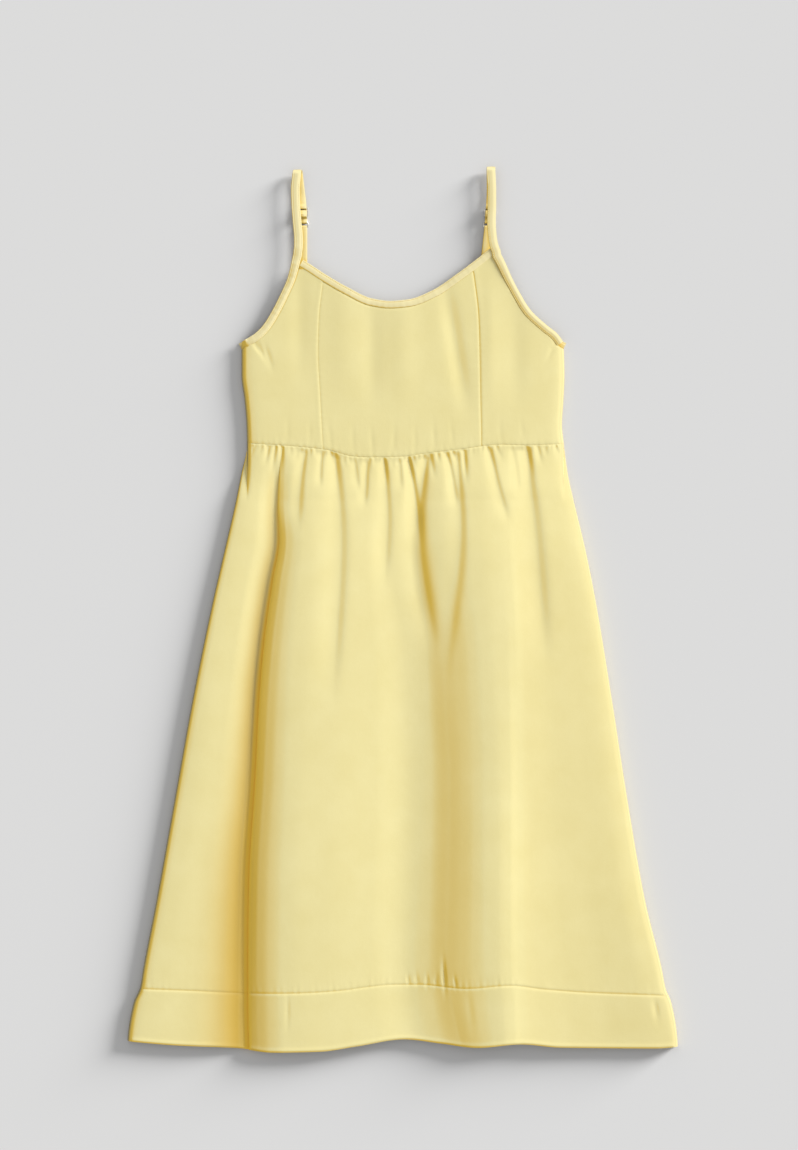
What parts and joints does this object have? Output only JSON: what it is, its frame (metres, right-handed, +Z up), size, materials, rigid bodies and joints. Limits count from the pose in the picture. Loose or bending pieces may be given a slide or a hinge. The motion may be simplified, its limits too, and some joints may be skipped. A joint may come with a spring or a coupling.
{
  "type": "strap dress laid flat",
  "caption": "Sleeveless midi dress laid flat: scooped neckline, shaped bodice, thin adjustable straps, gathered A-line skirt and a deep hem band.",
  "frame": {"origin": "centre of the box around the laid dress, on the surface it lies on", "axes": "+Z up off the surface, +Y from the hem toward the straps, +X to the viewer's right with the front up"},
  "size_m": [0.682, 1.0978, 0.0201],
  "materials": {
    "crepe": "matt woven crepe, pale yellow",
    "crepe_edge": "the same cloth cut on the bias and folded",
    "hardware": "bright small metal parts"
  },
  "bodies": {
    "root": {"bodice_front_centre": "crepe", "bodice_front_side_left": "crepe", "bodice_front_side_right": "crepe", "bodice_back": "crepe", "skirt_front": "crepe", "skirt_back": "crepe", "hem_band_front": "crepe", "hem_band_back": "crepe", "neck_binding_front": "crepe_edge", "back_binding": "crepe_edge", "strap_left": "crepe_edge", "strap_right": "crepe_edge", "back_strap_left": "crepe_edge", "back_strap_right": "crepe_edge", "slider_left": "hardware", "slider_right": "hardware", "ring_left": "hardware", "ring_right": "hardware"}
  },
  "joints": []
}
